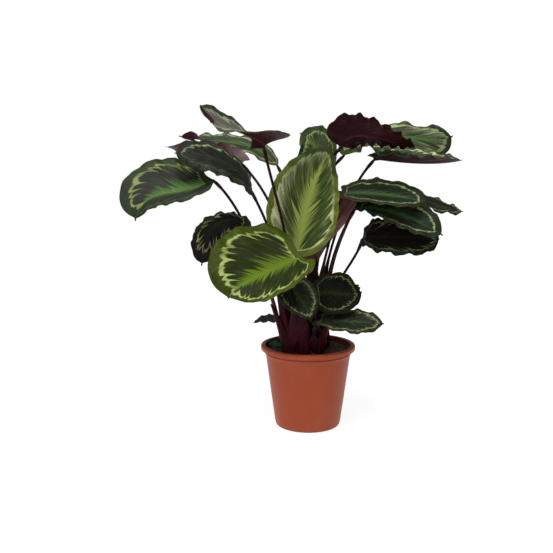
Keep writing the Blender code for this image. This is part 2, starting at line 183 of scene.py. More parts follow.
class Finish:
    """One material, put together from nodes that feed its Principled surface."""

    def __init__(self, name):
        self.material = bpy.data.materials.new(name)
        self.material.use_nodes = True
        self.nodes = self.material.node_tree.nodes
        self.links = self.material.node_tree.links
        self.surface = self.nodes["Principled BSDF"]

    def set(self, socket, value):
        if isinstance(value, Term):
            self.links.new(value.socket, socket)
        else:
            socket.default_value = value

    def add(self, kind, settings=None, sockets=None, output=0):
        """A node of that kind, with its settings set first and then its sockets' values or links."""
        node = self.nodes.new(kind)
        for name, value in (settings or {}).items():
            setattr(node, name, value)
        for name, value in (sockets or {}).items():
            self.set(node.inputs[name], value)
        return Term(self, node.outputs[output])

    def step(self, value, low, high):
        """0 below low, 1 above high, with a soft change between."""
        ends = {"Value": value, "From Min": low, "From Max": high}
        return self.add("ShaderNodeMapRange", {"interpolation_type": "SMOOTHSTEP"}, ends)

    def blend(self, share, first, second):
        """The first colour where share is 0, and the second where it is 1."""
        ends = {0: share, 6: first, 7: second}
        return self.add("ShaderNodeMix", {"data_type": "RGBA"}, ends, output=2)

    def point(self):
        return self.add("ShaderNodeTexCoord", output="Object")

    def kept(self, name):
        """A value that the mesh keeps at each point."""
        return self.add("ShaderNodeAttribute", {"attribute_name": name}, output="Fac")

    def noise(self, place, scale, detail=2.0, roughness=0.5):
        sockets = {"Vector": place, "Scale": scale, "Detail": detail, "Roughness": roughness}
        return self.add("ShaderNodeTexNoise", {}, sockets, output="Fac")

    def strands(self, place, across, along):
        """Noise drawn out into strands that run up and down."""
        factors = {0: place, 1: (across, across, along)}
        stretched = self.add("ShaderNodeVectorMath", {"operation": "MULTIPLY"}, factors)
        return self.noise(stretched, scale=1, detail=3, roughness=0.6)

    def bump(self, height, depth, strength=1.0):
        sockets = {"Height": height, "Distance": depth * MILLIMETRE, "Strength": strength}
        self.set(self.surface.inputs["Normal"], self.add("ShaderNodeBump", {}, sockets))

    def look(self, **sockets):
        for name, value in sockets.items():
            self.set(self.surface.inputs[name.replace("_", " ")], value)


def solid(name, points, faces, *finishes):
    """A smooth-shaded mesh object from points in millimetres."""
    mesh = bpy.data.meshes.new(name)
    mesh.from_pydata((np.asarray(points) * MILLIMETRE).tolist(), [], faces)
    for finish in finishes:
        mesh.materials.append(finish.material)
    mesh.shade_smooth()
    made = bpy.data.objects.new(name, mesh)
    bpy.context.scene.collection.objects.link(made)
    return made


def band_faces(first, rings, sides):
    """Faces between rings of points, each ring above the last one, from the first point on."""
    faces = []
    for low in range(first, first + (rings - 1) * sides, sides):
        for side in range(sides):
            after = (side + 1) % sides
            faces.append((low + side, low + after, low + sides + after, low + sides + side))
    return faces


def tube_faces(first, rings, sides):
    """Faces of a closed tube: the bands between its rings of points, and a cap at each end."""
    last = first + (rings - 1) * sides
    caps = [tuple(range(first + sides - 1, first - 1, -1)), tuple(range(last, last + sides))]
    return band_faces(first, rings, sides) + caps


def turned(profile, sides):
    """Points and faces of a solid turned about Z, from a profile that starts and ends on it."""
    turn = np.arange(sides) * 2 * math.pi / sides
    points = [(0, 0, profile[0][1]), (0, 0, profile[-1][1])]
    for radius, height in profile[1:-1]:
        points += [(radius * math.cos(a), radius * math.sin(a), height) for a in turn]
    rings = len(profile) - 2
    top = 2 + (rings - 1) * sides
    faces = [(0, 2 + (side + 1) % sides, 2 + side) for side in range(sides)]
    faces += [(1, top + side, top + (side + 1) % sides) for side in range(sides)]
    return points, faces + band_faces(2, rings, sides)


def arc(centre, radius, first, last, steps):
    angles = np.radians(np.linspace(first, last, steps + 1))
    return [(centre[0] + radius * math.cos(a), centre[1] + radius * math.sin(a)) for a in angles]


def wall_radius(height):
    """Outside of the pot's tapering wall."""
    share = height / (POT_HEIGHT - LIP_HEIGHT)
    return FOOT_RADIUS + (NECK_RADIUS - FOOT_RADIUS) * share


def pot_profile():
    """Half section from the middle of the underside, up the outside, and down the inside."""
    lip_base = POT_HEIGHT - LIP_HEIGHT
    inner_rim = wall_radius(POT_HEIGHT) - WALL
    inner_floor = wall_radius(POT_FLOOR) - WALL
    ring = (wall_radius(lip_base - RING_FOOT) - RING_SUNK, lip_base - RING_BELOW_LIP)
    outer_rows = np.linspace(*OUTER_WALL, OUTER_WALL_ROWS)
    inner_rows = np.linspace(*INNER_WALL, INNER_WALL_ROWS)
    under = LIP_UNDER_ROUNDING
    profile = [(0, 0), (FLOOR_MIDDLE, 0), (FLOOR_OUTER, 0), (FOOT_RADIUS - FOOT_ROUNDING - 1, 0)]
    profile += arc((FOOT_RADIUS - FOOT_ROUNDING, FOOT_ROUNDING), FOOT_ROUNDING, -90, -6, 8)
    profile += [(wall_radius(height), height) for height in outer_rows]
    profile += arc(ring, RING_ROUNDING, -60, 60, 6)
    profile += [(NECK_RADIUS + 0.2, lip_base - 2.5)]
    profile += arc((NECK_RADIUS + 1.6, lip_base - NECK_FILLET), NECK_FILLET, 180, 90, 3)
    profile += arc((LIP_RADIUS - under, lip_base + under), under, -90, 0, 4)
    profile += arc((LIP_RADIUS - LIP_ROUNDING, POT_HEIGHT - LIP_ROUNDING), LIP_ROUNDING, 0, 90, 7)
    profile += arc((inner_rim + RIM_ROUNDING, POT_HEIGHT - RIM_ROUNDING), RIM_ROUNDING, 90, 180, 5)
    profile += [(wall_radius(height) - WALL, height) for height in inner_rows]
    profile += [(inner_floor - 1.5, POT_FLOOR), (FLOOR_MIDDLE, POT_FLOOR), (0, POT_FLOOR)]
    return profile


def drilled(target, radius, low, high, places):
    """Cuts upright round holes through an object and keeps the cut mesh."""
    turn = (np.arange(DRILL_SIDES) + 0.5) * 2 * math.pi / DRILL_SIDES
    points, faces = [], []
    for x, y in places:
        faces += tube_faces(len(points), 2, DRILL_SIDES)
        for height in (low, high):
            points += [(x + radius * math.cos(a), y + radius * math.sin(a), height) for a in turn]
    drill = solid("drill", points, faces)
    cut = target.modifiers.new("holes", "BOOLEAN")
    cut.operation = "DIFFERENCE"
    cut.object = drill
    evaluated = target.evaluated_get(bpy.context.evaluated_depsgraph_get())
    cut_mesh = bpy.data.meshes.new_from_object(evaluated)
    target.modifiers.clear()
    target.data = cut_mesh
    bpy.data.objects.remove(drill, do_unlink=True)


def keep_values(made, name, values):
    """Stores one value a point on a mesh, for its finish to read."""
    store = made.data.attributes.new(name, "FLOAT", "POINT")
    store.data.foreach_set("value", np.asarray(values, np.float32).ravel())


pot_plastic = Finish("pot_plastic")
place = pot_plastic.point()
cloud = pot_plastic.noise(place, scale=14, detail=3)
flow = pot_plastic.strands(place, across=90, along=5)
grain = pot_plastic.noise(place, scale=900, detail=2)
worn = pot_plastic.step(cloud * 0.6 + flow * 0.4, 0.46, 0.66)
# The inner wall is darkened in patches: painted shade inside the pot.
inside = pot_plastic.kept("inside")
outer_colour = pot_plastic.blend(worn * 0.35, POT_COLOUR, POT_WORN_COLOUR)
pot_plastic.look(
    Base_Color=pot_plastic.blend(inside * (0.5 + 0.4 * cloud), outer_colour, POT_INNER_SHADE_COLOUR),
    Roughness=0.36 + 0.16 * cloud + 0.05 * flow,
    Specular_IOR_Level=0.3,
)
pot_plastic.bump(grain * 0.4 + flow * 0.6, depth=0.12, strength=0.35)

pot = solid("pot_shell", *turned(pot_profile(), POT_SIDES), pot_plastic)
drain_turns = [2 * math.pi * hole / DRAIN_HOLES for hole in range(DRAIN_HOLES)]
drains = [(DRAIN_CIRCLE * math.cos(a), DRAIN_CIRCLE * math.sin(a)) for a in drain_turns]
drilled(pot, DRAIN_RADIUS, -1, POT_FLOOR + 1, drains)
pot.data.set_sharp_from_angle(angle=math.radians(40))
corners = np.array([corner.co for corner in pot.data.vertices]) / MILLIMETRE
wall_middles = [wall_radius(height) - WALL / 2 for height in corners[:, 2]]
keep_values(pot, "inside", np.hypot(corners[:, 0], corners[:, 1]) < wall_middles)
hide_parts("pot")
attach(pot, "root")


# The soil: dark peaty potting soil, pressed into the pot and a little lower than its rim.
# One lumpy body, with loose crumbs lying on it.

SOIL_TOP = 140.0
SOIL_GAP = 0.3
SOIL_MIDDLE = 30.0
SOIL_WALL = (6.0, SOIL_TOP - 2)
SOIL_WALL_ROWS = 8
SOIL_SIDES = 144
SOIL_RINGS = 56
SOIL_LUMP = 1.6
SOIL_SINK = 0.8
CRUMBS = 900
CRUMB_SEED = 11
CRUMB_RADIUS = 0.7
CRUMB_GROWTH = 1.7
GOLDEN_RATIO = 1.618
SOIL_COLOUR = shade(58, 42, 32)
SOIL_DRY_COLOUR = shade(134, 104, 74)


def lumps(x, y):
    """Height of the soil's surface over its mean level, from a few crossed waves."""
    broad = np.sin(x * 0.11 + 1.3) * np.cos(y * 0.13 - 0.4)
    middle = np.sin(x * 0.37 + 2 * np.sin(y * 0.21)) * np.sin(y * 0.41 + 1.7)
    fine = np.sin(x * 1.13 + y * 0.77) * np.sin(y * 1.31 - x * 0.52)
    return SOIL_LUMP * (0.6 * broad + 0.4 * middle + 0.28 * fine) - SOIL_SINK


potting_soil = Finish("potting_soil")
place = potting_soil.point()
clod = potting_soil.noise(place, scale=160, detail=4, roughness=0.65)
speck = potting_soil.noise(place, scale=700, detail=3, roughness=0.7)
dry = potting_soil.step(clod * 0.5 + speck * 0.5, 0.48, 0.68)
potting_soil.look(Base_Color=potting_soil.blend(dry, SOIL_COLOUR, SOIL_DRY_COLOUR), Roughness=0.92)
potting_soil.bump(clod + speck * 0.5, depth=1.2)



def soil_radius(height):
    return wall_radius(height) - WALL - SOIL_GAP


soil_low = POT_FLOOR + SOIL_GAP
soil_edge = soil_radius(SOIL_TOP)
wall_rows = np.linspace(*SOIL_WALL, SOIL_WALL_ROWS)
profile = [(0, soil_low), (SOIL_MIDDLE, soil_low), (soil_radius(soil_low) - 1, soil_low)]
profile += [(soil_radius(height), height) for height in wall_rows]
first_loose = 2 + (len(profile) - 1) * SOIL_SIDES
profile += [(soil_edge * ring / SOIL_RINGS, SOIL_TOP) for ring in range(SOIL_RINGS, 0, -1)]
profile += [(0, SOIL_TOP)]
points, faces = turned(profile, SOIL_SIDES)
points = np.array(points)
points[first_loose:, 2] += lumps(points[first_loose:, 0], points[first_loose:, 1])
soil = solid("soil_body", points, faces, potting_soil)
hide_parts("soil")
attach(soil, "root")


def crumb_shape():
    """Unit points and triangles of a small twenty-sided lump."""
    card = [(a, b * GOLDEN_RATIO, 0) for a in (-1, 1) for b in (-1, 1)]
    corners = np.array([np.roll(corner, turn) for turn in range(3) for corner in card], float)
    corners /= np.linalg.norm(corners[0])
    edge = min(np.linalg.norm(corners[0] - corner) for corner in corners[1:]) * 1.01
    near = [[np.linalg.norm(a - b) < edge for b in corners] for a in corners]
    faces = []
    for i in range(12):
        for j in range(i + 1, 12):
            for k in range(j + 1, 12):
                if near[i][j] and near[j][k] and near[i][k]:
                    normal = np.cross(corners[j] - corners[i], corners[k] - corners[i])
                    faces.append((i, j, k) if normal @ corners[i] > 0 else (i, k, j))
    return corners, faces


def crumb_points(unit_lump, chance):
    """One crumb: the unit lump dented, stretched and spun, then dropped on the soil."""
    away = soil_edge * 0.985 * math.sqrt(chance.random())
    turn = chance.random() * 2 * math.pi
    x, y = away * math.cos(turn), away * math.sin(turn)
    size = CRUMB_RADIUS + CRUMB_GROWTH * chance.random() ** 3
    stretch = np.array([1 + chance.random() * 1.2, 1.0, 0.7])
    spin = chance.random() * math.pi
    dents = 1 + 0.25 * (chance.random((len(unit_lump), 1)) - 0.5)
    c, s = math.cos(spin), math.sin(spin)
    lump = (unit_lump * dents * stretch * size) @ np.array([[c, s, 0], [-s, c, 0], [0, 0, 1]])
    return lump + (x, y, SOIL_TOP + lumps(x, y) + 0.25 * size)


chance = np.random.default_rng(CRUMB_SEED)
unit_lump, lump_faces = crumb_shape()
points, faces = [], []
for _ in range(CRUMBS):
    first = len(points)
    points += list(crumb_points(unit_lump, chance))
    faces += [(a + first, b + first, c + first) for a, b, c in lump_faces]
crumbs = solid("soil_crumbs", points, faces, potting_soil)
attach(crumbs, "root")


# The leaves' places: each is planted at its foot, climbs past two bends, and carries a blade.
# Stalk and blade are both made from these values.

BLADE_THICKNESS = 0.5


@dataclass
class Leaf:
    """One leaf on its stalk.

    foot: where the stalk leaves the soil.
    bends: the two points that pull the stalk's curve on its way up.
    rib: four points that the midrib passes through, from the stalk to the tip.
    halves: the blade's width left and right of the midrib, looking to the tip.
    faces: compass bearing from +X and height, in degrees, that the upper side looks at.
    twist: degrees the blade turns about its midrib from end to end.
    curl: degrees that its last quarter turns on.
    fold, cup: degrees each half rises at the midrib, and again by its edge.
    lobe: how far the rounded base reaches back past the stalk.
    broadest: where along the midrib the blade is widest.
    point: how sharply the tip narrows, from 0.5 for round to 1 for straight-sided.
    waves, wave: how often and how far the edge waves.
    look, back: which finishes its upper side and its underside have.
    scallop: how deep the notches between lobes are, over the half width.
    """

    foot: tuple
    bends: tuple
    rib: tuple
    halves: tuple
    faces: tuple
    twist: float = 0
    curl: float = 0
    fold: tuple = (5, 5)
    cup: tuple = (0, 0)
    lobe: float = 8
    broadest: float = 0.45
    point: float = 0.6
    waves: int = 5
    wave: float = 3.0
    look: str = "deep"
    back: str = "maroon"
    scallop: float = 0.015


LEAVES = {
    # Left of the pot, from the lowest leaf to the highest.
    "rim_left": Leaf(
        foot=(-50, 20),
        bends=((-50, 20, 155), (-45, 30, 170)),
        rib=((-42, 36, 180), (-60, 34, 187), (-80, 32, 187), (-100, 30, 180)),
        halves=(24, 24), faces=(-90, 75), fold=(10, 0), cup=(5, -15),
        point=0.9, waves=4, wave=1.5, look="dull", scallop=0,
    ),
    "dark_left": Leaf(
        foot=(-41, -25),
        bends=((-40, -25, 235), (-75, -15, 320)),
        rib=((-100, -40, 365), (-140, -45, 375), (-170, -50, 355), (-185, -60, 300)),
        halves=(46, 42), faces=(-95, 50), twist=-20, fold=(5, -5), cup=(-5, -25),
        waves=7, wave=3, point=0.5, look="lobed", scallop=0.09,
    ),
    "far_left": Leaf(
        foot=(-42, -10),
        bends=((-65, -10, 255), (-115, 0, 395)),
        rib=((-170, 0, 445), (-220, -10, 425), (-270, -20, 415), (-300, -40, 375)),
        halves=(26, 76), faces=(-120, 40), twist=-35, fold=(0, 10), cup=(-10, 5),
        lobe=10, broadest=0.45, point=0.55, wave=2, look="feathered", scallop=0.005,
    ),
    "arched_left": Leaf(
        foot=(-32, 15),
        bends=((-30, 20, 255), (-65, 20, 360)),
        rib=((-100, 20, 425), (-135, 5, 465), (-185, 0, 485), (-235, 0, 490)),
        halves=(36, 46), faces=(-80, 60), twist=-45, fold=(0, 5), cup=(-20, -10),
        lobe=14, broadest=0.35, point=0.5, waves=6, wave=2.5, look="muted", scallop=0.01,
    ),
    "curled_left": Leaf(
        foot=(-32, 32),
        bends=((-25, 30, 290), (-50, 45, 400)),
        rib=((-120, 80, 470), (-145, 80, 485), (-190, 75, 495), (-260, 65, 500)),
        halves=(22, 40), faces=(90, 35), curl=-40, fold=(0, 5), cup=(0, 5),
        lobe=12, broadest=0.25, point=0.3, back="dusky",
    ),
    "back_left": Leaf(
        foot=(-14, 40),
        bends=((-15, 40, 275), (-20, 80, 405)),
        rib=((-55, 125, 465), (-110, 150, 500), (-175, 160, 510), (-245, 160, 520)),
        halves=(32, 20), faces=(-90, 60), twist=25, curl=95, fold=(15, 20), cup=(0, 15),
        lobe=6, broadest=0.5, look="green",
    ),
    "crown_left": Leaf(
        foot=(-26, -12),
        bends=((-15, -30, 295), (-60, -50, 410)),
        rib=((-80, -50, 500), (-100, -75, 518), (-155, -105, 540), (-170, -130, 560)),
        halves=(56, 40), faces=(-90, 90), twist=-90, fold=(-5, 10), cup=(0, 60),
        lobe=10, broadest=0.3, point=0.5, waves=4, wave=1.5, look="painted_sheen", scallop=0.04,
    ),
    # The light leaves in the middle and the young one that is still half rolled.
    "front": Leaf(
        foot=(-28, -36),
        bends=((-30, -35, 215), (-15, -60, 275)),
        rib=((-15, -80, 320), (-55, -100, 305), (-105, -130, 285), (-135, -150, 260)),
        halves=(66, 92), faces=(-95, 30), twist=-30, fold=(15, 5), cup=(25, 0),
        lobe=14, point=0.5, waves=4, wave=4, look="fresh",
    ),
    "middle": Leaf(
        foot=(-8, -26),
        bends=((-10, -25, 210), (-20, -20, 270)),
        rib=((-20, -15, 308), (-10, -5, 375), (10, 0, 440), (40, 0, 505)),
        halves=(70, 70), faces=(-100, 30), twist=-25, fold=(15, 15), cup=(15, 15),
        lobe=2, point=0.75, waves=7, wave=2.5, look="light",
    ),
    "middle_back": Leaf(
        foot=(0, 32),
        bends=((0, 30, 260), (40, 35, 365)),
        rib=((35, 45, 440), (25, 55, 480), (10, 60, 505), (-15, 60, 525)),
        halves=(54, 42), faces=(-105, 45), twist=15, fold=(10, 25), cup=(5, 40),
        lobe=2, broadest=0.5, point=0.5, look="pale",
    ),
    "rolled": Leaf(
        foot=(-6, 6),
        bends=((-5, 5, 200), (5, 10, 255)),
        rib=((15, 10, 295), (30, 5, 340), (65, 0, 390), (80, -5, 425)),
        halves=(26, 44), faces=(100, 10), twist=-20, fold=(20, 10), cup=(40, 15),
        lobe=6, broadest=0.55, waves=3, wave=1, look="fresh", back="ruddy",
    ),
    # Right of the pot, from the highest leaf to the lowest.
    "crown_right": Leaf(
        foot=(4, 18),
        bends=((5, 20, 280), (0, 20, 450)),
        rib=((60, 20, 500), (90, 10, 520), (140, 0, 510), (185, 0, 500)),
        halves=(30, 58), faces=(60, 50), twist=30, fold=(5, 0), cup=(5, -10),
        lobe=4, broadest=0.35, waves=8, wave=3.5, look="green", scallop=0.06,
    ),
    "back_right": Leaf(
        foot=(13, 45),
        bends=((20, 45, 285), (0, 35, 430)),
        rib=((65, 75, 485), (120, 85, 520), (200, 80, 515), (265, 75, 520)),
        halves=(42, 54), faces=(-90, 50), twist=45, curl=50, fold=(5, 5), cup=(-20, 0),
        lobe=2, broadest=0.5, waves=4, wave=5, look="crumpled", scallop=0.05,
    ),
    "edge_on_right": Leaf(
        foot=(17, 27),
        bends=((20, 25, 280), (70, 55, 425)),
        rib=((115, 15, 480), (155, 0, 475), (210, -10, 472), (265, -15, 478)),
        halves=(40, 36), faces=(-90, 85), twist=-10, fold=(30, 25), cup=(10, 5),
        lobe=14, waves=6, wave=2.5, look="green", back="dusk", scallop=0.03,
    ),
    "upper_right": Leaf(
        foot=(2, -10),
        bends=((10, -10, 245), (40, 0, 350)),
        rib=((55, -10, 420), (100, -20, 420), (155, -30, 415), (200, -40, 405)),
        halves=(44, 42), faces=(-95, 60), twist=15, fold=(5, 10), cup=(0, 5),
        lobe=10, wave=1.5, look="bright",
    ),
    "long_right": Leaf(
        foot=(37, 14),
        bends=((20, 15, 270), (65, 40, 355)),
        rib=((105, 50, 435), (155, 45, 425), (225, 40, 400), (280, 35, 385)),
        halves=(34, 34), faces=(-85, 65), twist=5, fold=(0, 5), cup=(-15, 0),
        lobe=14, waves=6, look="streaky", scallop=0.03,
    ),
    "middle_right": Leaf(
        foot=(16, 4),
        bends=((25, 5, 240), (45, -15, 340)),
        rib=((80, -15, 395), (130, -20, 390), (180, -30, 375), (230, -40, 350)),
        halves=(42, 34), faces=(-95, 50), twist=40, fold=(10, 10), cup=(5, 10),
        lobe=4, broadest=0.5, waves=6, look="bright",
    ),
    "lower_right": Leaf(
        foot=(30, -6),
        bends=((20, -5, 245), (80, 0, 295)),
        rib=((95, 5, 340), (130, 0, 340), (190, -5, 340), (230, -10, 340)),
        halves=(48, 44), faces=(-75, 40), twist=30, fold=(5, 10), cup=(0, 10),
        lobe=2, wave=4, look="brown", scallop=0.06,
    ),
    # Low leaves over the rim at the front and right.
    "low_right": Leaf(
        foot=(20, -24),
        bends=((20, -25, 180), (5, -40, 220)),
        rib=((10, -40, 245), (35, -45, 250), (65, -55, 250), (90, -60, 255)),
        halves=(40, 42), faces=(-90, 35), twist=25, lobe=6, point=0.9, wave=1.5, look="in_shade",
        scallop=0.005,
    ),
    "rim_right": Leaf(
        foot=(10, -40),
        bends=((10, -40, 165), (5, -60, 190)),
        rib=((15, -60, 205), (50, -70, 205), (90, -80, 205), (125, -90, 205)),
        halves=(34, 40), faces=(-85, 60), twist=45, fold=(5, 10), cup=(-5, 5),
        lobe=12, broadest=0.3, point=0.7, waves=4, wave=2.5, look="streaky", scallop=0.03,
    ),
    "low_front": Leaf(
        foot=(-10, -42),
        bends=((-10, -40, 200), (-20, -75, 245)),
        rib=((-30, -80, 285), (-25, -95, 260), (-10, -110, 240), (0, -115, 215)),
        halves=(40, 30), faces=(-75, 40), twist=-20, fold=(-15, -15), cup=(5, 10),
        broadest=0.4, point=0.8, wave=2, look="streaky", scallop=0.005,
    ),
    # Behind the stalks.
    "rear": Leaf(
        foot=(-5, 53),
        bends=((-5, 55, 215), (5, 70, 285)),
        rib=((10, 80, 330), (10, 110, 375), (15, 150, 400), (25, 195, 400)),
        halves=(48, 48), faces=(90, 70), cup=(-5, -5),
    ),
    "rear_left": Leaf(
        foot=(-24, 50),
        bends=((-25, 50, 200), (-40, 50, 260)),
        rib=((-45, 60, 295), (-65, 90, 310), (-85, 130, 305), (-100, 175, 275)),
        halves=(44, 44), faces=(120, 70), cup=(-5, -5),
    ),
    "rear_right": Leaf(
        foot=(24, 46),
        bends=((25, 45, 175), (40, 55, 210)),
        rib=((45, 60, 235), (60, 90, 240), (70, 120, 225), (80, 150, 195)),
        halves=(38, 38), faces=(70, 70), cup=(-5, -5), look="in_shade",
    ),
}


def unit(vectors):
    return vectors / np.linalg.norm(vectors, axis=-1, keepdims=True)


def ease(start, end, value):
    """0 at start and before, 1 at end and past it, with a soft curve between."""
    part = np.clip((value - start) / (end - start), 0, 1)
    return part * part * (3 - 2 * part)


def bezier(pulls, t):
    a, b, c, d = (np.asarray(point, float) for point in pulls)
    t = np.asarray(t, float)[:, None]
    return (1 - t) ** 3 * a + 3 * t * (1 - t) ** 2 * b + 3 * t * t * (1 - t) * c + t**3 * d


def bezier_slope(pulls, t):
    a, b, c, d = (np.asarray(point, float) for point in pulls)
    t = np.asarray(t, float)[:, None]
    return (1 - t) ** 2 * (b - a) + 2 * t * (1 - t) * (c - b) + t * t * (d - c)


def pulls_through(points):
    """The Bezier control points of the curve that passes through four points at thirds."""
    a, b, c, d = (np.asarray(point, float) for point in points)
    return a, (-5 * a + 18 * b - 9 * c + 2 * d) / 6, (2 * a - 9 * b + 18 * c - 5 * d) / 6, d


def bearing(azimuth, height):
    azimuth, height = math.radians(azimuth), math.radians(height)
    flat = math.cos(height)
    return np.array([math.cos(azimuth) * flat, math.sin(azimuth) * flat, math.sin(height)])


def rib_frames(leaf, u):
    """Point, direction, upward normal and rightward side of the midrib at each u."""
    pulls = pulls_through(leaf.rib)
    along = unit(bezier_slope(pulls, u))
    faces = bearing(*leaf.faces)
    normal = unit(faces - (along @ faces)[:, None] * along)
    side = np.cross(along, normal)
    turn = np.radians(leaf.twist * (np.asarray(u) - 0.5) + leaf.curl * ease(0.75, 1, u))
    c, s = np.cos(turn)[:, None], np.sin(turn)[:, None]
    return bezier(pulls, u), along, normal * c + side * s, side * c - normal * s


# The stalks: smooth, wiry and almost black maroon, each wrapped at the bottom in its own
# flat sheath, which makes the thick clump over the soil. A short joint swells under the blade.

CLUMP = np.array([-4.0, 2.0, 0.0])
PLANTED_DEPTH = 24.0
STALK_RADIUS = 2.4
STALK_FOOT_RADIUS = 3.8
SHEATH_WIDENING = 8.5
SHEATH_THICKENING = 1.0
SHEATH_LONGEST = 170.0
SHEATH_START = 26.0
SHEATH_SHARE = 0.62
SHEATH_HOLLOW = 1.45
FOOT_TAPER = 40.0
STALK_TO_BLADE = 0.4
STALK_SHORT = 6.0
STALK_STEPS = 56
STALK_SIDES = 20
JOINT_LENGTH = 16.0
JOINT_START = 6.0
JOINT_SWELLING = 0.7
TONGUE = {
    # Share of the midrib: the stalk's radius there, and how far its middle lies under the blade.
    0.0: (2.2, 1.9),
    0.05: (1.3, 0.9),
    0.12: (0.3, 0.1),
}
STALK_COLOUR = shade(24, 12, 13)
STALK_LIT_COLOUR = shade(62, 30, 32)
SHEATH_COLOUR = shade(30, 6, 10)
SHEATH_PALE_COLOUR = shade(90, 20, 34)

stalk_skin = Finish("stalk_skin")
place = stalk_skin.point()
sheath_share = stalk_skin.kept("sheath")
strand = stalk_skin.strands(place, across=620, along=14)
blotch = stalk_skin.noise(place, scale=60, detail=3)
lit = stalk_skin.step(strand * 0.6 + blotch * 0.4, 0.42, 0.68)
thin_colour = stalk_skin.blend(lit, STALK_COLOUR, STALK_LIT_COLOUR)
pale = stalk_skin.step(strand, 0.35, 0.85)
wide_colour = stalk_skin.blend(pale, SHEATH_COLOUR, SHEATH_PALE_COLOUR)
stalk_skin.look(
    Base_Color=stalk_skin.blend(sheath_share, thin_colour, wide_colour),
    Roughness=0.4 + 0.2 * strand,
    Specular_IOR_Level=0.06,
)
stalk_skin.bump(strand, depth=0.5, strength=0.5)


def stalk_path(leaf):
    """Points up the middle of a stalk, from in the soil to the tongue under the midrib."""
    spots, _, normals, _ = rib_frames(leaf, np.array(list(TONGUE)))
    clear = BLADE_THICKNESS / 2 + STALK_TO_BLADE
    arrival = unit(spots[0] - np.array(leaf.bends[1], float))
    shift = -normals[0] * (clear + STALK_RADIUS) - arrival * STALK_SHORT
    foot = np.array([*leaf.foot, SOIL_TOP + 2])
    pulls = (foot, leaf.bends[0], leaf.bends[1] + shift, spots[0] + shift)
    curve = bezier(pulls, np.linspace(0, 1, STALK_STEPS + 1))
    planted = foot - np.array([0, 0, PLANTED_DEPTH + 2])
    depths = np.array([clear + depth for _, depth in TONGUE.values()])
    return np.vstack([planted, curve, spots - normals * depths[:, None]])


def stalk_section(sheath, width, depth):
    """Ring of points: round for a bare stalk, and a hollow-backed crescent for a sheath."""
    angle = 2 * math.pi * (np.arange(STALK_SIDES) + 0.5) / STALK_SIDES
    across = width * np.cos(angle)
    out = depth * np.sin(angle)
    dent = SHEATH_HOLLOW * sheath * (1 - np.abs(np.cos(angle)) ** 3)
    return across, np.where(out < 0, out * (1 - dent), out)


def stalk_sizes(centres):
    """Half width, half depth and share of sheath at each point up a stalk."""
    steps = np.linalg.norm(np.diff(centres, axis=0), axis=1)
    height = np.concatenate([[0], np.cumsum(steps)]) - PLANTED_DEPTH - 2
    length = height[-len(TONGUE)]
    reach = min(SHEATH_SHARE * length, SHEATH_LONGEST)
    sheath = ease(0, SHEATH_START, height) * ease(reach, 0.2 * length, height)
    joint = length - JOINT_LENGTH
    stout = STALK_RADIUS + (STALK_FOOT_RADIUS - STALK_RADIUS) * ease(FOOT_TAPER, 0, height)
    stout = stout + JOINT_SWELLING * ease(joint - JOINT_START, joint, height)
    stout[-len(TONGUE) :] = [radius for radius, _ in TONGUE.values()]
    return stout + SHEATH_WIDENING * sheath, stout + SHEATH_THICKENING * sheath, sheath


def stalk_solid(leaf):
    """Points, faces and the sheath's share at each point of one stalk."""
    centres = stalk_path(leaf)
    ways = unit(np.gradient(centres, axis=0))
    outward = np.array([*leaf.foot, 0.0]) - CLUMP
    outward = unit(outward) if np.linalg.norm(outward) > 6 else np.array([0.0, -1.0, 0.0])
    points, shares = [], []
    for centre, way, width, depth, share in zip(centres, ways, *stalk_sizes(centres)):
        outward = unit(outward - (outward @ way) * way)
        across = np.cross(outward, way)
        sideways, out = stalk_section(share, width, depth)
        points += list(centre + sideways[:, None] * across + out[:, None] * outward)
        shares += [share] * STALK_SIDES
    return points, tube_faces(0, len(centres), STALK_SIDES), shares


for name, leaf in LEAVES.items():
    points, faces, shares = stalk_solid(leaf)
    stalk = solid("petiole_" + name, points, faces, stalk_skin)
    keep_values(stalk, "sheath", shares)
    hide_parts("stalk_" + name)
    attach(stalk, "root")


# The outer sheaths: short pointed maroon leaves without a blade, which wrap the foot of the
# clump and overlap each other. Each is a thin curved strip that stands up out of the soil.

OUTER_SHEATHS = {
    # Bearing from +X, distance from the clump's middle, height, half width, and how far the
    # top leans outwards and to the right, looking at the sheath from the clump's middle.
    "left": (200, 36, 92, 10, 8, 0),
    "front_left": (222, 53, 86, 12, 12, 24),
    "front": (262, 50, 70, 12, 4, -4),
    "front_right": (300, 48, 70, 11, 8, -20),
    "right": (328, 38, 84, 10, 9, -6),
    "back_right": (20, 34, 60, 11, 6, 0),
    "back": (80, 40, 70, 12, 4, 0),
    "back_left": (140, 38, 56, 11, 6, 0),
}
OUTER_SHEATH_THICKNESS = 0.9
OUTER_SHEATH_ROWS = 24
OUTER_SHEATH_COLUMNS = 10
OUTER_SHEATH_LEAST_HALF = 0.3
OUTER_SHEATH_WRAP = 0.55
OUTER_SHEATH_PLANTED = 6.0


def sheet_faces(rows, columns):
    """Faces of a closed sheet made of two grids of points, the upper side's grid first.

    The first faces lie on the upper side and the lower side in turn, and the last go round the rim.
    """
    other = rows * columns
    faces = []
    for row in range(rows - 1):
        for column in range(columns - 1):
            a = row * columns + column
            b, c, d = a + columns, a + columns + 1, a + 1
            faces.append((d, c, b, a))
            faces.append((a + other, b + other, c + other, d + other))
    rim = [row * columns for row in range(rows)]
    rim += [(rows - 1) * columns + column for column in range(1, columns)]
    rim += [row * columns + columns - 1 for row in range(rows - 2, -1, -1)]
    rim += list(range(columns - 2, 0, -1))
    return faces + [(a, b, b + other, a + other) for a, b in zip(rim, rim[1:] + rim[:1])]


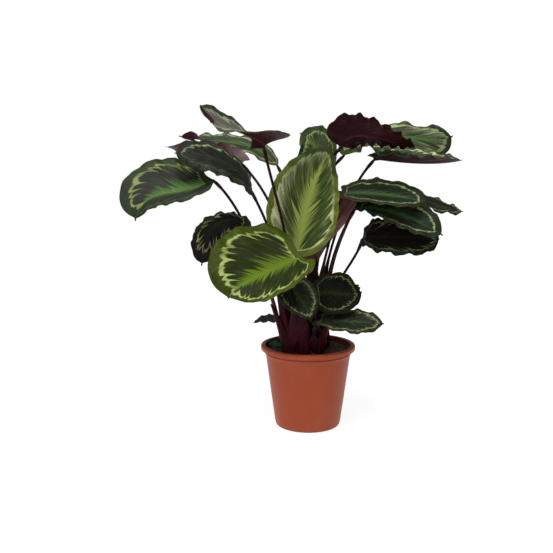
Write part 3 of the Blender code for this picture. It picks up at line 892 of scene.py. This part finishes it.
def outer_sheath(turn, away, height, half, lean, slant):
    """Points and faces of one curved, pointed strip that stands in the soil."""
    turn = math.radians(turn)
    out = np.array([math.cos(turn), math.sin(turn), 0.0])
    across = np.array([-out[1], out[0], 0.0])
    points = []
    for layer in (0, OUTER_SHEATH_THICKNESS):
        for t in np.linspace(0, 1, OUTER_SHEATH_ROWS + 1):
            reach = half * (1 - t**2.2) ** 0.8 + OUTER_SHEATH_LEAST_HALF
            rise = SOIL_TOP - OUTER_SHEATH_PLANTED + (height + OUTER_SHEATH_PLANTED) * t
            for side in np.linspace(-1, 1, OUTER_SHEATH_COLUMNS + 1):
                wrap = OUTER_SHEATH_WRAP * half * side * side * (1 - 0.5 * t)
                outwards = away + lean * t * t - wrap - layer
                sideways = reach * side - slant * t**1.3
                points.append(CLUMP + out * outwards + across * sideways + (0, 0, rise))
    return points, sheet_faces(OUTER_SHEATH_ROWS + 1, OUTER_SHEATH_COLUMNS + 1)


for name, size in OUTER_SHEATHS.items():
    points, faces = outer_sheath(*size)
    strip = solid("outer_sheath_" + name, points, faces, stalk_skin)
    keep_values(strip, "sheath", np.ones(len(points)))
    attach(strip, "root")


# The blades: thin leathery ovals with a short drip tip and a gently waved edge. Side veins
# leave the midrib and sweep to the tip, and every patch of colour breaks up along them.

BLADE_ROWS = 96
BLADE_COLUMNS = 48
BLADE_LEAST_HALF = 1.2
BODY_SHARE = 0.975
BODY_FULLNESS = 2.15
BASE_ROUNDNESS = 0.55
DRIP_TIP_FROM = 0.8
DRIP_TIP_START = 0.88
DRIP_TIP_HALF = 0.16
LOBES = 8
LOBE_UNEVENNESS = 0.3
LOBE_RATE = 2.3
VEIN_SWEEP = 0.5
VEIN_RELIEF = 0.8
SIDE_STEP = 40.3
SEED_STEP = 17.3
RIB_RELIEF = 1.1
RIB_HALF_WIDTH = 1.6
RIB_GROOVE = 0.25
BARBS_PER_LOBE = 4
TOOTH_STEP = 500
BARB_STEP = 900
EDGE_COLOUR = shade(80, 52, 34)
BACK_VEIN_COLOUR = shade(28, 9, 13)
BACK_MIDRIB_COLOUR = shade(96, 46, 46)


def half_outline(u, broadest, point):
    """Half width over the greatest: a rounded leaf that ends in a short drip tip."""
    body = np.clip(u / BODY_SHARE, 0, 1)
    rise = np.where(body < broadest, body / broadest, (1 - body) / (1 - broadest))
    roundness = np.where(body < broadest, BASE_ROUNDNESS, point)
    rounded = np.clip(1 - (1 - rise) ** BODY_FULLNESS, 0, 1) ** roundness
    tip = DRIP_TIP_HALF * (1 - u) / (1 - DRIP_TIP_START)
    return np.where(u > DRIP_TIP_FROM, np.maximum(rounded, tip), rounded)


def bent_half(reach, fold, cup):
    """Sideways and upward travel over the half width, bending evenly from fold to fold + cup."""
    start = np.radians(fold)
    bend = np.radians(cup)
    if abs(bend) < 1e-6:
        return reach * np.cos(start), reach * np.sin(start)
    end = start + bend * reach
    return (np.sin(end) - np.sin(start)) / bend, (np.cos(start) - np.cos(end)) / bend


def lobe_count(u, reach, right, seed, sine=np.sin):
    """How many lobes have been passed at a place on the blade, with lobes of uneven width.

    It takes numbers for the mesh, and terms with their own sine for the finish.
    """
    turns = (u - VEIN_SWEEP * reach) * LOBES + SIDE_STEP * right + SEED_STEP * seed
    return turns + LOBE_UNEVENNESS * sine(LOBE_RATE * turns)


def relief(leaf, u, reach, right, turns, seed):
    """Rise of the surface: waves that grow towards the edge, and puffs between side veins."""
    phase = 2 * math.pi * (leaf.waves * u + 0.37 * right)
    waves = reach**2.4 * np.sin(phase) + 0.35 * reach**4 * np.sin(2.3 * phase + seed)
    puffs = np.abs(np.sin(math.pi * turns)) + np.abs(np.sin(2 * math.pi * turns))
    return leaf.wave * waves + VEIN_RELIEF * ease(0, 0.15, reach) * ease(1.05, 0.8, reach) * puffs


def blade_surface(leaf, u, v, seed):
    """Middle surface of a blade: u runs from stalk to tip, v from -1 at the left edge to 1.

    Returns the points, and the same points laid flat for measuring distances on the blade.
    """
    points, along, normal, side = rib_frames(leaf, u)
    length = np.linalg.norm(np.diff(points, axis=0), axis=1).sum()
    width = half_outline(u, leaf.broadest, leaf.point)
    swell = ease(0, 0.12, u) * ease(1, 0.86, u)
    back = leaf.lobe * ease(0, 0.07, u) * ease(0.45, 0.05, u)
    columns, laid = [], []
    for value in v:
        right = int(value > 0)
        reach = abs(value)
        sideways, upward = bent_half(reach, leaf.fold[right], leaf.cup[right])
        turns = lobe_count(u, reach, right, seed)
        notch = 1 - np.abs(np.sin(math.pi * turns))
        trim = 1 - leaf.scallop * swell * reach**3 * notch**1.5
        half = np.maximum(leaf.halves[right] * width * trim, BLADE_LEAST_HALF)
        rise = upward * half + swell * relief(leaf, u, reach, right, turns, seed)
        columns.append(
            points
            + side * (math.copysign(1, value) * sideways * half)[:, None]
            + normal * rise[:, None]
            - along * (back * reach**1.6)[:, None]
        )
        laid.append(np.stack([u * length - back * reach**1.6, value * half], axis=-1))
    return np.stack(columns, axis=1), np.stack(laid, axis=1)


def edge_distance(laid):
    """Distance of every point from the blade's edge, over the half width on its side."""
    edge = np.concatenate([laid[:, 0], laid[:, -1]])
    flat = laid.reshape(-1, 1, 2)
    distance = np.linalg.norm(flat - edge[None], axis=-1).min(axis=1).reshape(laid.shape[:2])
    middle = laid.shape[1] // 2
    left = np.abs(laid[:, 0, 1]).max()
    right = np.abs(laid[:, -1, 1]).max()
    halves = np.where(np.arange(laid.shape[1]) < middle, left, right)
    return distance / halves[None, :]


def blade_solid(leaf, seed):
    """Points, faces and finish of each face, and what the finish reads at each point."""
    step = np.arange(BLADE_ROWS + 1) / BLADE_ROWS
    u = 0.45 * step + 0.55 * (1 - np.cos(math.pi * step)) / 2
    spread = np.linspace(-1, 1, BLADE_COLUMNS + 1)
    v = 0.5 * spread + 0.5 * spread * np.abs(spread)
    surface, laid = blade_surface(leaf, u, v, seed)
    across = np.gradient(surface, axis=1)
    normals = unit(np.cross(across, np.gradient(surface, axis=0)))
    from_rib = np.abs(laid[:, :, 1]) / RIB_HALF_WIDTH
    ridge = RIB_RELIEF * ease(1, 0.1, u)[:, None] * np.exp(-(from_rib**2))
    upper = surface + normals * BLADE_THICKNESS / 2 - normals * ridge[..., None] * RIB_GROOVE
    lower = surface - normals * BLADE_THICKNESS / 2 - normals * ridge[..., None]
    points = np.concatenate([upper.reshape(-1, 3), lower.reshape(-1, 3)])
    faces = sheet_faces(BLADE_ROWS + 1, BLADE_COLUMNS + 1)
    squares = BLADE_ROWS * BLADE_COLUMNS
    sides = [0, 1] * squares + [0] * (len(faces) - 2 * squares)
    grid_u, grid_v = np.meshgrid(u, v, indexing="ij")
    return points, faces, sides, (grid_u, grid_v, edge_distance(laid))


@dataclass
class LeafLook:
    """Colours of one kind of upper side; widths are shares of the blade's half width.

    feather_reach: how far the light feather by the midrib reaches.
    ring_at, ring: how far in from the edge the pale ring lies, and half its width.
    lobing, teeth: how far the ring bows out round each lobe, and runs in between lobes.
    gloss: how strongly the surface mirrors the light.
    wash: how far pale streaks, partly painted reflection, run in from the ring on the left half.
    faint: how much of the ring is missing on the left half.
    fading: how far the margin takes on the heart's colour towards the tip.
    broken: how much of the ring is lost in streaks towards the tip.
    """

    heart: tuple
    heart_streak: tuple
    feather: tuple
    feather_reach: float
    ring_colour: tuple
    ring_at: float
    ring: float
    lobing: float
    teeth: float
    margin: tuple
    margin_streak: tuple
    gloss: float
    wash: float = 0.0
    faint: float = 0.0
    fading: float = 0.6
    broken: float = 0.0


LOOKS = {
    "light": LeafLook(
        heart=shade(42, 58, 20), heart_streak=shade(104, 114, 60),
        feather=shade(134, 152, 70), feather_reach=0.5,
        ring_colour=shade(188, 192, 146), ring_at=0.18, ring=0.02, lobing=0.06, teeth=0.16,
        margin=shade(76, 92, 20), margin_streak=shade(120, 126, 60), gloss=0.14, wash=0.3,
        fading=1.0, broken=0.85,
    ),
    "fresh": LeafLook(
        heart=shade(32, 44, 8), heart_streak=shade(60, 70, 28),
        feather=shade(102, 128, 34), feather_reach=0.46,
        ring_colour=shade(166, 182, 108), ring_at=0.2, ring=0.02, lobing=0.08, teeth=0.12,
        margin=shade(56, 72, 8), margin_streak=shade(84, 98, 26), gloss=0.12,
    ),
    "feathered": LeafLook(
        heart=shade(18, 24, 10), heart_streak=shade(56, 62, 40),
        feather=shade(78, 112, 46), feather_reach=0.5,
        ring_colour=shade(132, 150, 84), ring_at=0.2, ring=0.014, lobing=0.07, teeth=0.12,
        margin=shade(28, 42, 12), margin_streak=shade(54, 68, 30), gloss=0.18, faint=0.8,
    ),
    "green": LeafLook(
        heart=shade(30, 46, 18), heart_streak=shade(84, 94, 60),
        feather=shade(82, 108, 44), feather_reach=0.45,
        ring_colour=shade(180, 192, 138), ring_at=0.2, ring=0.024, lobing=0.05, teeth=0.14,
        margin=shade(48, 66, 24), margin_streak=shade(88, 102, 54), gloss=0.25,
    ),
    "pale": LeafLook(
        heart=shade(44, 62, 26), heart_streak=shade(110, 118, 80),
        feather=shade(92, 116, 54), feather_reach=0.45,
        ring_colour=shade(160, 172, 118), ring_at=0.3, ring=0.016, lobing=0.05, teeth=0.16,
        margin=shade(46, 66, 24), margin_streak=shade(88, 104, 54), gloss=0.25, wash=0.2,
    ),
    "crumpled": LeafLook(
        heart=shade(26, 40, 16), heart_streak=shade(118, 128, 84),
        feather=shade(64, 96, 36), feather_reach=0.4,
        ring_colour=shade(170, 180, 130), ring_at=0.24, ring=0.03, lobing=0.08, teeth=0.2,
        margin=shade(34, 52, 16), margin_streak=shade(92, 106, 52), gloss=0.15, wash=0.25,
        fading=0.9, broken=0.6,
    ),
    # Painted sheen: a pale grey upper side, for a blade that catches light glancing off it.
    "painted_sheen": LeafLook(
        heart=shade(82, 78, 66), heart_streak=shade(146, 140, 126),
        feather=shade(124, 122, 100), feather_reach=0.4,
        ring_colour=shade(170, 168, 148), ring_at=0.24, ring=0.04, lobing=0.06, teeth=0.16,
        margin=shade(34, 46, 24), margin_streak=shade(78, 88, 62), gloss=0.3,
    ),
    "deep": LeafLook(
        heart=shade(16, 24, 12), heart_streak=shade(38, 54, 28),
        feather=shade(44, 74, 26), feather_reach=0.55,
        ring_colour=shade(126, 144, 92), ring_at=0.22, ring=0.013, lobing=0.04, teeth=0.07,
        margin=shade(20, 32, 12), margin_streak=shade(42, 60, 26), gloss=0.1,
    ),
    "bright": LeafLook(
        heart=shade(18, 28, 13), heart_streak=shade(44, 62, 34),
        feather=shade(56, 84, 38), feather_reach=0.42,
        ring_colour=shade(156, 168, 116), ring_at=0.28, ring=0.016, lobing=0.03, teeth=0.05,
        margin=shade(24, 38, 15), margin_streak=shade(52, 70, 32), gloss=0.2,
    ),
    "streaky": LeafLook(
        heart=shade(16, 21, 11), heart_streak=shade(66, 74, 50),
        feather=shade(50, 66, 34), feather_reach=0.3,
        ring_colour=shade(136, 148, 104), ring_at=0.2, ring=0.016, lobing=0.06, teeth=0.1,
        margin=shade(20, 29, 13), margin_streak=shade(60, 72, 42), gloss=0.12, wash=0.12,
    ),
    "muted": LeafLook(
        heart=shade(14, 17, 9), heart_streak=shade(48, 54, 34),
        feather=shade(34, 44, 20), feather_reach=0.3,
        ring_colour=shade(146, 154, 112), ring_at=0.27, ring=0.018, lobing=0.04, teeth=0.1,
        margin=shade(24, 32, 16), margin_streak=shade(60, 68, 46), gloss=0.15, faint=0.8,
    ),
    "lobed": LeafLook(
        heart=shade(9, 9, 6), heart_streak=shade(24, 24, 16),
        feather=shade(20, 22, 12), feather_reach=0.2,
        ring_colour=shade(122, 118, 88), ring_at=0.36, ring=0.02, lobing=0.2, teeth=0.08,
        margin=shade(14, 18, 9), margin_streak=shade(44, 48, 30), gloss=0.06,
    ),
    "brown": LeafLook(
        heart=shade(19, 14, 10), heart_streak=shade(40, 30, 22),
        feather=shade(26, 24, 14), feather_reach=0.2,
        ring_colour=shade(122, 132, 92), ring_at=0.26, ring=0.014, lobing=0.16, teeth=0.1,
        margin=shade(17, 27, 11), margin_streak=shade(40, 52, 26), gloss=0.1,
    ),
    "dull": LeafLook(
        heart=shade(52, 44, 38), heart_streak=shade(84, 76, 66),
        feather=shade(70, 66, 52), feather_reach=0.3,
        ring_colour=shade(92, 88, 72), ring_at=0.2, ring=0.012, lobing=0.04, teeth=0.1,
        margin=shade(40, 40, 30), margin_streak=shade(70, 66, 54), gloss=0.1,
    ),
    # Painted shade: the darkest copy of the leaf colours, for blades that lie in shade.
    "in_shade": LeafLook(
        heart=shade(9, 11, 6), heart_streak=shade(26, 28, 16),
        feather=shade(32, 40, 17), feather_reach=0.3,
        ring_colour=shade(96, 106, 66), ring_at=0.22, ring=0.012, lobing=0.07, teeth=0.07,
        margin=shade(14, 20, 8), margin_streak=shade(34, 42, 20), gloss=0.03,
    ),
}


def peak(count):
    """1 in the middle of each whole step of a count, falling evenly to 0 at its ends."""
    return 1 - abs((count - count.floor()) * 2 - 1)


class VeinedFinish(Finish):
    """A finish that follows the side veins of the blade it lies on.

    along, reach: how far from stalk to tip, and from midrib to edge.
    left: 1 on the left half and 0 on the right one.
    turns: a count that goes up by one per lobe, which is one main side vein.
    """

    def __init__(self, name):
        super().__init__(name)
        laid = self.add("ShaderNodeUVMap", {"uv_map": "blade"})
        signed = self.add("ShaderNodeSeparateXYZ", {}, {"Vector": laid}, output="Y") * 2 - 1
        right = signed > 0
        self.along = self.add("ShaderNodeSeparateXYZ", {}, {"Vector": laid}, output="X")
        self.reach = abs(signed)
        self.left = 1 - right
        self.seed = self.kept("seed")
        self.turns = lobe_count(self.along, self.reach, right, self.seed, sine=Term.wave)

    def chance(self, count):
        """A chance value that stays the same within each whole step of a count."""
        sockets = {"W": count.floor()}
        return self.add("ShaderNodeTexWhiteNoise", {"noise_dimensions": "1D"}, sockets)

    def threads(self, across, outwards, shift, detail):
        """Noise drawn out into threads along the side veins, that many across each lobe."""
        place = {"X": self.turns * across, "Y": self.reach * outwards, "Z": self.seed * shift}
        drawn_out = self.add("ShaderNodeCombineXYZ", {}, place)
        return self.noise(drawn_out, scale=1, detail=detail, roughness=0.6)


class UpperSide(VeinedFinish):
    """The finish of a blade's upper side, with what its ring, feather and margin share.

    inset: distance from the edge, over the half width.
    cusp: 1 between two lobes and 0 in the middle of one; bulge is a round bow over each lobe.
    barb: 1 in the middle of each barb of the feather and 0 between barbs.
    streak, hair: coarse and fine threads along the side veins.
    """

    def __init__(self, name):
        super().__init__(name)
        barbs = self.turns * BARBS_PER_LOBE
        self.inset = self.kept("inset")
        self.cusp = 1 - peak(self.turns)
        self.bulge = 1 - self.cusp * self.cusp
        self.barb = peak(barbs)
        self.lobe_chance = self.chance(self.turns)
        self.tooth_chance = self.chance(self.turns + TOOTH_STEP)
        self.barb_chance = self.chance(barbs + BARB_STEP)
        self.streak = self.threads(across=5, outwards=2.2, shift=9, detail=3)
        self.hair = self.threads(across=20, outwards=3, shift=5, detail=2)


def ring_edges(side, look):
    """How far in from the edge the pale ring starts and ends; it is even near the stalk."""
    settled = side.step(side.along, 0.06, 0.26)
    tipward = side.step(side.along, 0.0, 0.8)
    uneven = 0.05 * (side.tooth_chance - 0.5) + 0.08 * (side.hair - 0.5)
    middle = look.ring_at + (uneven - look.lobing * (side.bulge - 0.5)) * settled
    half = look.ring * (0.35 + 0.6 * side.lobe_chance + 0.7 * tipward)
    tooth = look.teeth * (0.25 + side.tooth_chance) * side.cusp**5
    splinter = 0.05 * side.barb * side.barb_chance
    return middle - half, middle + half + (tooth + splinter) * settled


def feather_share(side, look):
    """1 on the light feather along the midrib, whose barbs are longest below the middle."""
    length = side.step(side.along, 1.0, 0.4) * side.step(side.along, -0.1, 0.15)
    barb = 0.12 + 0.88 * side.barb * (0.4 + 0.6 * side.barb_chance)
    tip = look.feather_reach * length * barb * (0.6 + 0.4 * side.bulge) + 0.02
    return (1 - side.step(side.reach, tip - 0.08, tip + 0.05)) * (0.7 + 0.5 * side.hair)


def heart_colour(side, look, ring_end, lost):
    """The heart: dark with fine streaks, a pale wash in from the ring, and the feather."""
    streaked = side.step(side.streak * 0.6 + side.hair * 0.4, 0.46, 0.66)
    colour = side.blend(streaked, look.heart, look.heart_streak)
    # The pale wash on the left half is partly the leaf's own pale streaks and partly painted
    # reflection.
    wash_end = ring_end + look.wash * (0.4 + side.tooth_chance)
    washed = side.step(side.inset, wash_end, ring_end) * side.step(side.hair, 0.3, 0.6)
    washed = washed * side.left * (1 - lost) * min(look.wash * 3, 0.8)
    colour = side.blend(washed, colour, look.ring_colour)
    return side.blend(feather_share(side, look), colour, look.feather)


def margin_colour(side, look):
    """The margin outside the ring: streaked green that turns to the heart's colour at the tip."""
    streaked = side.step(side.streak * 0.5 + side.hair * 0.5, 0.43, 0.63)
    colour = side.blend(streaked, look.margin, look.margin_streak)
    return side.blend(side.step(side.along, 0.6, 0.9) * look.fading, colour, look.heart)


def ring_colour(side, look, heart, lost):
    """The ring: pale, greener in places, and partly overgrown by the heart."""
    faded = side.step(side.streak * 0.6 + side.barb_chance * 0.4, 0.4, 0.75)
    colour = side.blend(faded * 0.7, look.ring_colour, look.margin_streak)
    colour = side.blend(side.left * look.faint, colour, heart)
    return side.blend(lost, colour, heart)


def leaf_face(name, look):
    """Upper side: dark heart, light feather, pale jagged ring and green margin."""
    side = UpperSide("leaf_face_" + name)
    ring_start, ring_end = ring_edges(side, look)
    lost = side.step(side.along, 0.4, 0.75) * side.step(side.hair, 0.3, 0.5) * look.broken
    heart = heart_colour(side, look, ring_end, lost)
    in_heart = side.step(side.inset, ring_end - 0.015, ring_end + 0.025)
    in_margin = 1 - side.step(side.inset, ring_start - 0.012, ring_start + 0.012)
    midrib = 1 - side.step(side.reach, 0.004, 0.022)
    edge_line = 1 - side.step(side.inset, 0.0, 0.02)
    colour = side.blend(in_heart, ring_colour(side, look, heart, lost), heart)
    colour = side.blend(in_margin, colour, margin_colour(side, look))
    colour = side.blend(midrib * 0.6, colour, look.feather)
    colour = side.blend(edge_line * 0.5, colour, EDGE_COLOUR)
    roughness = 0.4 + 0.16 * side.streak
    side.look(Base_Color=colour, Roughness=roughness, Specular_IOR_Level=look.gloss)
    side.bump(side.hair * 0.5 + side.streak * 0.5, depth=0.5, strength=0.7)
    return side


def leaf_back(name, ground, streaked, near_stalk, gloss):
    """Underside: smooth, with darker side veins, a lighter midrib and another tone by the stalk."""
    side = VeinedFinish("leaf_back_" + name)
    vein = 1 - side.step(peak(side.turns * 2), 0.0, 0.2)
    midrib = 1 - side.step(side.reach, 0.015, 0.05)
    streak = side.threads(across=6, outwards=2, shift=1, detail=3)
    stalkward = side.step(side.along + 0.2 * streak, 0.55, 0.25)
    colour = side.blend(side.step(streak, 0.35, 0.75), ground, streaked)
    colour = side.blend(stalkward * 0.9, colour, near_stalk)
    colour = side.blend(vein * 0.35, colour, BACK_VEIN_COLOUR)
    colour = side.blend(midrib * 0.5, colour, BACK_MIDRIB_COLOUR)
    side.look(Base_Color=colour, Roughness=0.5, Specular_IOR_Level=gloss)
    side.bump(vein * 0.6 + streak * 0.4, depth=0.4, strength=0.6)
    return side


backs = {
    "maroon": leaf_back("maroon", shade(38, 12, 15), shade(66, 24, 30), shade(46, 16, 20), gloss=0.1),
    # The dusky back's pale grey-pink tone by the stalk is painted sheen: light glancing off the
    # underside.
    "dusky": leaf_back("dusky", shade(70, 26, 34), shade(96, 44, 50), shade(138, 116, 116), gloss=0.4),
    "dusk": leaf_back("dusk", shade(34, 20, 20), shade(74, 52, 48), shade(30, 16, 18), gloss=0.3),
    "ruddy": leaf_back("ruddy", shade(84, 40, 34), shade(110, 62, 50), shade(84, 44, 40), gloss=0.3),
}
faces_by_look = {name: leaf_face(name, look) for name, look in LOOKS.items()}

for number, (name, leaf) in enumerate(LEAVES.items()):
    points, faces, sides, (grid_u, grid_v, inset) = blade_solid(leaf, number)
    blade = solid("lamina_" + name, points, faces, faces_by_look[leaf.look], backs[leaf.back])
    blade.data.polygons.foreach_set("material_index", sides)
    corners = np.empty(len(blade.data.loops), np.int32)
    blade.data.loops.foreach_get("vertex_index", corners)
    laid = np.stack([grid_u, grid_v / 2 + 0.5], axis=-1).reshape(-1, 2)
    laid = np.tile(laid, (2, 1))[corners].astype(np.float32)
    blade.data.uv_layers.new(name="blade").data.foreach_set("uv", laid.ravel())
    keep_values(blade, "inset", np.tile(inset.ravel(), 2))
    keep_values(blade, "seed", np.full(len(points), number))
    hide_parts("blade_" + name)
    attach(blade, "root")


# The scrap of leaf: a small dark green piece that has dropped off and lies on the soil, inside
# the rim on the left. It is a little blade of the same make, without a stalk.

SCRAP_COLOUR = shade(24, 62, 44)
SCRAP_VEIN_COLOUR = shade(52, 96, 70)
SCRAP = Leaf(
    foot=(0, 0), bends=(),
    rib=((-46, 8, 144), (-54, 14, 145), (-63, 20, 145), (-70, 24, 143)),
    halves=(9, 9), faces=(-70, 60), fold=(5, 5), wave=0.8, look="in_shade", scallop=0,
)

scrap_green = Finish("scrap_green")
strands = scrap_green.strands(scrap_green.point(), across=240, along=60)
veined = scrap_green.step(strands, 0.45, 0.65)
scrap_colour = scrap_green.blend(veined, SCRAP_COLOUR, SCRAP_VEIN_COLOUR)
scrap_green.look(Base_Color=scrap_colour, Roughness=0.5, Specular_IOR_Level=0.2)

points, faces, _, _ = blade_solid(SCRAP, 0)
scrap = solid("leaf_scrap", points, faces, scrap_green)
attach(scrap, "root")


# The floor: a white sheet that the pot stands on, wide enough for every view. It glows, so that
# it is as white as the room behind it and takes only a faint shadow.

FLOOR_SPAN = 6000
FLOOR_COLOUR = (0.2, 0.2, 0.2, 1.0)
FLOOR_GLOW = 0.87

floor_sheet = Finish("floor_sheet")
floor_sheet.look(Base_Color=FLOOR_COLOUR, Roughness=0.9)
floor_sheet.look(Emission_Color=(1.0, 1.0, 1.0, 1.0), Emission_Strength=FLOOR_GLOW)
corner = FLOOR_SPAN / 2
floor_points = [(-corner, -corner, 0), (corner, -corner, 0), (corner, corner, 0), (-corner, corner, 0)]
floor = solid("floor", floor_points, [(0, 1, 2, 3)], floor_sheet)
